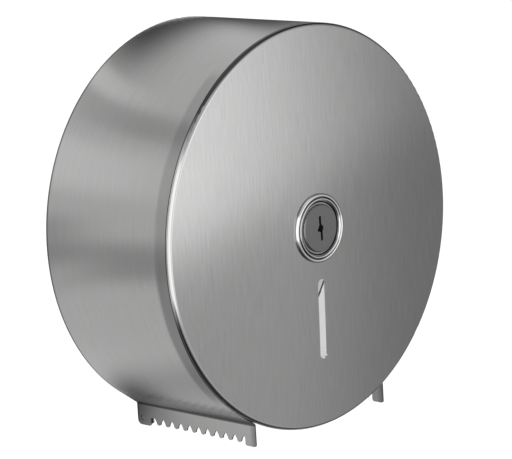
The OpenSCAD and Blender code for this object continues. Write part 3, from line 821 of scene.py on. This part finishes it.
class DISPENSER_OT_studio(bpy.types.Operator):
    """Sets the floor, what the metal mirrors, the lamps, the world and the camera"""

    bl_idname = "dispenser.studio"
    bl_label = "Studio"

    def execute(self, context):
        studio = context.scene.dispenser_studio
        self.lay_floor(studio)
        self.hang_tent(studio)
        self.stand_card()
        self.lay_inner_card()
        self.wrap_rim_strips()
        self.light_world(context.scene)
        self.place_lamps()
        self.place_camera(context.scene, studio)
        context.scene.view_settings.view_transform = "Standard"
        return {"FINISHED"}

    def seen(self, nodes):
        """1 for the rays that show the background: camera, glossy and transmission."""
        path = nodes.add("ShaderNodeLightPath").socket.node
        rays = [
            Field(nodes.tree, path.outputs[name])
            for name in ("Is Camera Ray", "Is Glossy Ray", "Is Transmission Ray")
        ]
        return reckon("MINIMUM", rays[0] + rays[1] + rays[2], 1.0)

    def lay_floor(self, studio):
        shape = bmesh.new()
        bmesh.ops.create_circle(shape, cap_ends=True, segments=ROUND_CORNERS, radius=FLOOR_RADIUS)
        for vert in shape.verts:
            vert.co.z = BAR_FOOT - studio.floor_drop
        mesh = bpy.data.meshes.new("studio_floor")
        shape.to_mesh(mesh)
        shape.free()
        paper = Finish("floor_paper")
        fibre = paper.noise(paper.place, 30.0, 3.0)
        matt = paper.add(
            "ShaderNodeBsdfDiffuse",
            inputs={"Color": paper.tint(fibre, grey(0.8), grey(0.82))},
        )
        glow = paper.add("ShaderNodeEmission", inputs={"Color": FLOOR_GLOW * self.seen(paper)})
        both = paper.add("ShaderNodeAddShader", inputs={0: matt, 1: glow})
        paper.add("ShaderNodeOutputMaterial", inputs={"Surface": both})
        staged("studio_floor", mesh, paper.material)

    def hang_tent(self, studio):
        """A dim tent with a broad window on the left, whose slanting foot the front mirrors."""
        shape = bmesh.new()
        bmesh.ops.create_icosphere(shape, subdivisions=5, radius=studio.tent_radius)
        mesh = bpy.data.meshes.new("studio_tent")
        shape.to_mesh(mesh)
        shape.free()
        cloth = Finish("tent_cloth")
        aim = cloth.add(
            "ShaderNodeVectorMath", {"operation": "NORMALIZE"}, {0: cloth.place}
        )
        side, back, rise = cloth.parts(aim)
        azimuth = reckon("DEGREES", reckon("ARCTAN2", side, back * -1.0))
        elevation = reckon("DEGREES", reckon("ARCSINE", rise))
        slanting = reckon("MAXIMUM", azimuth, FOOT_LEVEL_FROM)
        window = cloth.ease(elevation - FOOT_SLANT * slanting, *WINDOW_FOOT)
        window = window * (1 - cloth.ease(elevation + HEAD_SLANT * azimuth, *WINDOW_HEAD))
        window = window * cloth.ease(azimuth, *WINDOW_LEFT)
        bar = azimuth / WINDOW_BAR[0]
        sky = WINDOW_GLOW - WINDOW_BAR[1] * reckon("EXPONENT", bar * bar * -1.0)
        for start, end, fall in WINDOW_FALLS:
            sky = sky - fall * cloth.ease(azimuth, start, end)
        start, end, fall = BENCH_FALL
        bench = BENCH_GLOW - fall * cloth.ease(azimuth, start, end)
        bench = bench * cloth.ease(elevation, *BENCH_DEPTH)
        bench = bench * (1 - cloth.ease(azimuth, *BENCH_RIGHT))
        low_right = 1 - cloth.ease(elevation, *LOW_RIGHT_HEAD)
        low_right = low_right * cloth.ease(azimuth, *LOW_RIGHT_START)
        glow = bench * (1 - window) + sky * window
        glow = glow + BACK_GLOW * cloth.ease(back, *BACK_REACH)
        glow = glow + TOP_GLOW * cloth.ease(rise, *TOP_REACH)
        glow = glow + LOW_RIGHT_GLOW * low_right
        self.mirrored("studio_tent", mesh, cloth, glow)

    def ring(self, name, *loops):
        """A band between two loops of a radius and a place each, facing away from the origin."""
        shape = bmesh.new()
        for radius, place in loops:
            bmesh.ops.create_circle(
                shape, segments=ROUND_CORNERS, radius=radius,
                matrix=Matrix.Translation((0, 0, place)),
            )
        bmesh.ops.bridge_loops(shape, edges=shape.edges)
        for vert in shape.verts:
            vert.co = (vert.co.x, vert.co.z, vert.co.y)
        for face in shape.faces:
            face.normal_update()
            if face.normal.dot(face.calc_center_median()) < 0:
                face.normal_flip()
        mesh = bpy.data.meshes.new(name)
        shape.to_mesh(mesh)
        shape.free()
        return mesh

    def stand_card(self):
        """A glowing card behind the drum, no lamp, with painted bright places and painted shadows,
        that the drum's side and its bars mirror.
        """
        card = Finish("card_paper")
        radius = card.radius()
        height = reckon("DEGREES", reckon("ARCTAN2", card.z, card.x * -1.0))
        glow = CARD_GLOW
        for middle, spread, distance, width, strength in CARD_LIGHTS:
            above = abs(height - middle) / spread
            off = (radius - distance) / width
            glow = glow + strength * reckon("EXPONENT", (above ** 4.0 + off * off) * -1.0)
        mesh = self.ring("studio_card", *((rim, CARD_PLACE) for rim in CARD_RADII))
        self.mirrored("studio_card", mesh, card, glow)

    def paper_glow(self, paper, level):
        """A glow with a little of the paper's cloudiness."""
        return level * (0.9 + 0.2 * paper.noise(paper.place, 60.0, 2.0))

    def lay_inner_card(self):
        """A glowing card before the back plate, no lamp, that paints light on what shows through
        the slot.
        """
        card = Finish("inner_card_paper")
        glow = self.paper_glow(card, INNER_CARD_GLOW)
        glow = glow * (1 - INNER_CARD_SHADE * card.ease(card.radius(), *INNER_CARD_SHADED))
        loops = ((rim, INNER_CARD_PLACE) for rim in INNER_CARD_RADII)
        self.mirrored("studio_inner_card", self.ring("studio_inner_card", *loops), card, glow)

    def wrap_rim_strips(self):
        """Glowing strips at the back plate's rim, no lamps, that paint light in the gap between it
        and the wall.
        """
        for name, loops in RIM_STRIPS:
            strip = Finish(name + "_paper")
            glow = self.paper_glow(strip, RIM_STRIP_GLOW)
            self.mirrored(name, self.ring(name, *loops), strip, glow, one_sided=True)

    def mirrored(self, name, mesh, glowing, glow, one_sided=False):
        """A glowing piece that shows in reflections and nowhere else."""
        glow = reckon("MAXIMUM", glow, DARKEST)
        light = glowing.add("ShaderNodeEmission", inputs={"Color": glow})
        if one_sided:
            behind = glowing.add("ShaderNodeNewGeometry", out=6)
            clear = glowing.add("ShaderNodeBsdfTransparent")
            light = glowing.add("ShaderNodeMixShader", inputs={0: behind, 1: light, 2: clear})
        glowing.add("ShaderNodeOutputMaterial", inputs={"Surface": light})
        piece = staged(name, mesh, glowing.material)
        piece.visible_camera = False
        piece.visible_diffuse = False
        piece.visible_transmission = False
        piece.visible_shadow = False

    def light_world(self, scene):
        world = bpy.data.worlds.new("studio_air")
        world.use_nodes = True
        scene.world = world
        air = Nodes(world.node_tree)
        strength = AMBIENT + (1 - AMBIENT) * self.seen(air)
        back = air.add(
            "ShaderNodeBackground", inputs={"Color": grey(1.0), "Strength": strength}
        )
        air.add("ShaderNodeOutputWorld", inputs={"Surface": back})

    def place_lamps(self):
        for name, place, size, power in STUDIO_LAMPS:
            lamp = bpy.data.lights.new(name, "AREA")
            lamp.size = size
            lamp.energy = power
            piece = bpy.data.objects.new(name, lamp)
            piece.location = place
            piece.rotation_euler = (-Vector(place)).to_track_quat("-Z", "Y").to_euler()
            piece.visible_camera = False
            piece.visible_glossy = False
            bpy.context.scene.collection.objects.link(piece)

    def place_camera(self, scene, studio):
        eye = bpy.data.cameras.new("studio_camera")
        eye.sensor_fit = "HORIZONTAL"
        eye.sensor_width = SENSOR_WIDTH
        eye.lens = studio.lens
        eye.clip_end = CAMERA_REACH
        piece = bpy.data.objects.new("studio_camera", eye)
        turn = Matrix((CAMERA_RIGHT, CAMERA_UP, -CAMERA_FORWARD)).transposed().to_4x4()
        piece.matrix_world = Matrix.Translation(studio.camera_place) @ turn
        scene.collection.objects.link(piece)
        scene.camera = piece


# ---- panel and registration ----

class DISPENSER_PT_panel(bpy.types.Panel):
    """Lists the settings and the operators"""

    bl_idname = "DISPENSER_PT_panel"
    bl_label = "Roll dispenser"
    bl_space_type = "VIEW_3D"
    bl_region_type = "UI"
    bl_category = "Dispenser"

    def draw(self, context):
        for name, _ in SETTINGS:
            group = getattr(context.scene, name)
            box = self.layout.box()
            for key in group.__annotations__:
                box.prop(group, key)
        for operator in OPERATORS:
            self.layout.operator(operator.bl_idname)


SETTINGS = (
    ("dispenser_steel", SteelSettings),
    ("dispenser_trim", TrimSettings),
    ("dispenser_inside", InsideSettings),
    ("dispenser_studio", StudioSettings),
)

OPERATORS = (
    DISPENSER_OT_front_cover,
    DISPENSER_OT_side_wall,
    DISPENSER_OT_lock_front,
    DISPENSER_OT_lock_inside,
    DISPENSER_OT_plain_sheet,
    DISPENSER_OT_bright_pieces,
    DISPENSER_OT_soft_washers,
    DISPENSER_OT_roll_hub,
    DISPENSER_OT_studio,
)


def register():
    for name, group in SETTINGS:
        bpy.utils.register_class(group)
        setattr(bpy.types.Scene, name, PointerProperty(type=group))
    for operator in OPERATORS:
        bpy.utils.register_class(operator)
    bpy.utils.register_class(DISPENSER_PT_panel)


def unregister():
    bpy.utils.unregister_class(DISPENSER_PT_panel)
    for operator in reversed(OPERATORS):
        bpy.utils.unregister_class(operator)
    for name, group in reversed(SETTINGS):
        delattr(bpy.types.Scene, name)
        bpy.utils.unregister_class(group)


def main():
    register()
    for operator in OPERATORS:
        prefix, name = operator.bl_idname.split(".")
        getattr(getattr(bpy.ops, prefix), name)()


if __name__ == "__main__":
    main()
